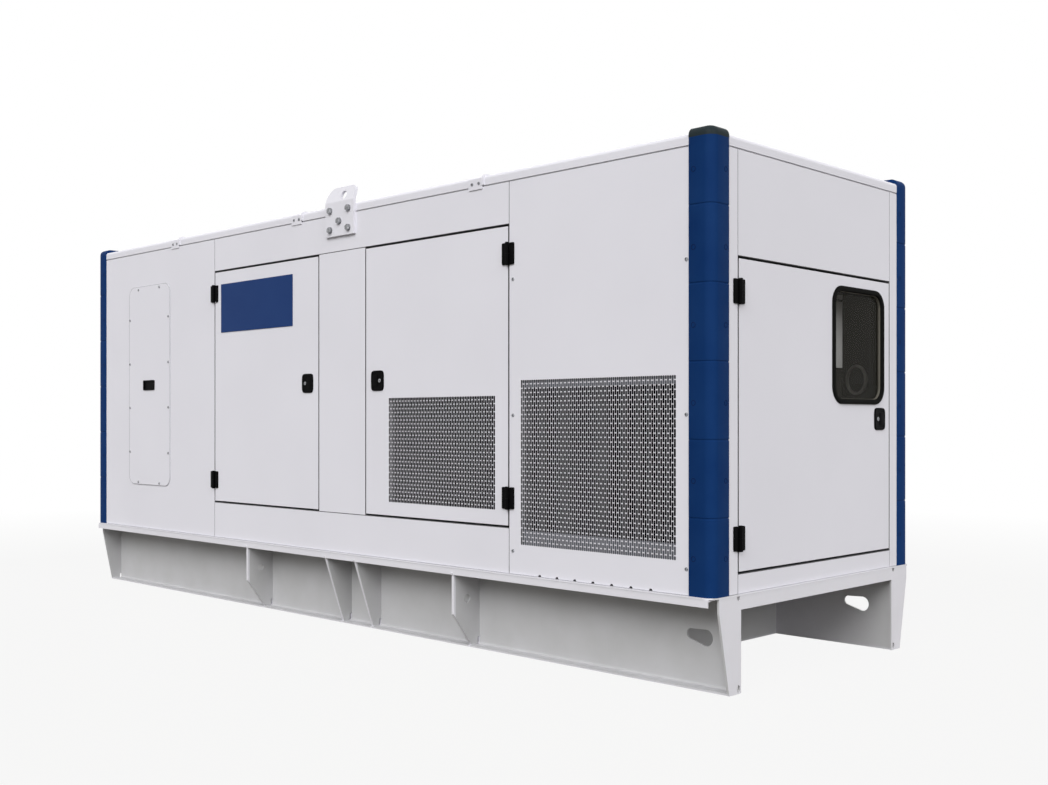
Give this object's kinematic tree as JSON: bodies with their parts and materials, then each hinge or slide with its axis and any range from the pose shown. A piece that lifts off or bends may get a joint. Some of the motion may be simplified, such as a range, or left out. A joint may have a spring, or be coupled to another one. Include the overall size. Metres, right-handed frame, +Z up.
{
  "type": "enclosed generator set",
  "caption": "Generator set in a pale grey sound-proof enclosure with blue corner posts, slotted intake grilles and hinged doors, on a folded-plate base.",
  "frame": {"origin": "ground level, below the middle of the enclosure's length and width", "axes": "+Z up, +X along the length to the end with the window, -Y faces the side with the two hinged doors"},
  "size_m": [5.055, 1.662, 2.2923],
  "materials": {
    "panel_paint": "satin",
    "base_paint": "satin",
    "grille_paint": "satin",
    "post_blue": "satin",
    "sign_blue": "satin",
    "cap_black": "matte",
    "fitting_black": "satin",
    "seal_rubber": "matte",
    "window_glass": "tinted",
    "bolt_steel": "plated",
    "cabinet_grey": "satin"
  },
  "bodies": {
    "housing": {"base_deck": "base_paint", "front_base_rail": "base_paint", "back_base_rail": "base_paint", "right_base_end": "base_paint", "left_base_end": "base_paint", "base_gussets": "base_paint", "base_cross_walls": "base_paint", "roof_section_1": "panel_paint", "roof_section_2": "panel_paint", "roof_section_3": "panel_paint", "roof_section_4": "panel_paint", "roof_clips": "panel_paint", "lifting_plates": "panel_paint", "front_left_panel": "panel_paint", "front_header": "panel_paint", "front_pillar": "panel_paint", "front_sill": "panel_paint", "front_right_panel": "panel_paint", "access_covers": "panel_paint", "end_strips": "panel_paint", "end_headers": "panel_paint", "end_sills": "panel_paint", "left_end_panel": "panel_paint", "back_left_panel": "panel_paint", "back_header": "panel_paint", "back_pillar": "panel_paint", "back_sill": "panel_paint", "back_right_panel": "panel_paint", "back_doors": "panel_paint", "front_intake_grille": "grille_paint", "back_intake_grille": "grille_paint", "back_door_grille": "grille_paint", "front_right_post": "post_blue", "front_left_post": "post_blue", "back_right_post": "post_blue", "back_left_post": "post_blue", "front_hinges": "fitting_black", "end_hinges": "fitting_black", "back_fittings": "fitting_black", "cover_pulls": "fitting_black", "post_caps": "cap_black", "control_cabinet": "cabinet_grey", "lifting_bolts": "bolt_steel"},
    "front_left_leaf": {"front_left_door": "panel_paint", "front_left_door_fittings": "fitting_black", "sign_plate": "sign_blue"},
    "front_right_leaf": {"front_right_door": "panel_paint", "front_right_door_grille": "grille_paint", "front_right_door_fittings": "fitting_black"},
    "end_leaf": {"end_door": "panel_paint", "window_seal": "seal_rubber", "window_glass": "window_glass", "end_door_fittings": "fitting_black"}
  },
  "joints": [
    {"name": "front_left_door_hinge", "type": "hinge", "parent": "housing", "child": "front_left_leaf", "pos_m": [-1.0475, -0.812, 1.277], "axis": [0, 0, -1], "range_deg": [0, 150]},
    {"name": "front_right_door_hinge", "type": "hinge", "parent": "housing", "child": "front_right_leaf", "pos_m": [1.4055, -0.812, 1.277], "axis": [0, 0, 1], "range_deg": [0, 150]},
    {"name": "end_door_hinge", "type": "hinge", "parent": "housing", "child": "end_leaf", "pos_m": [2.523, -0.6235, 1.0985], "axis": [0, 0, -1], "range_deg": [0, 150]}
  ]
}
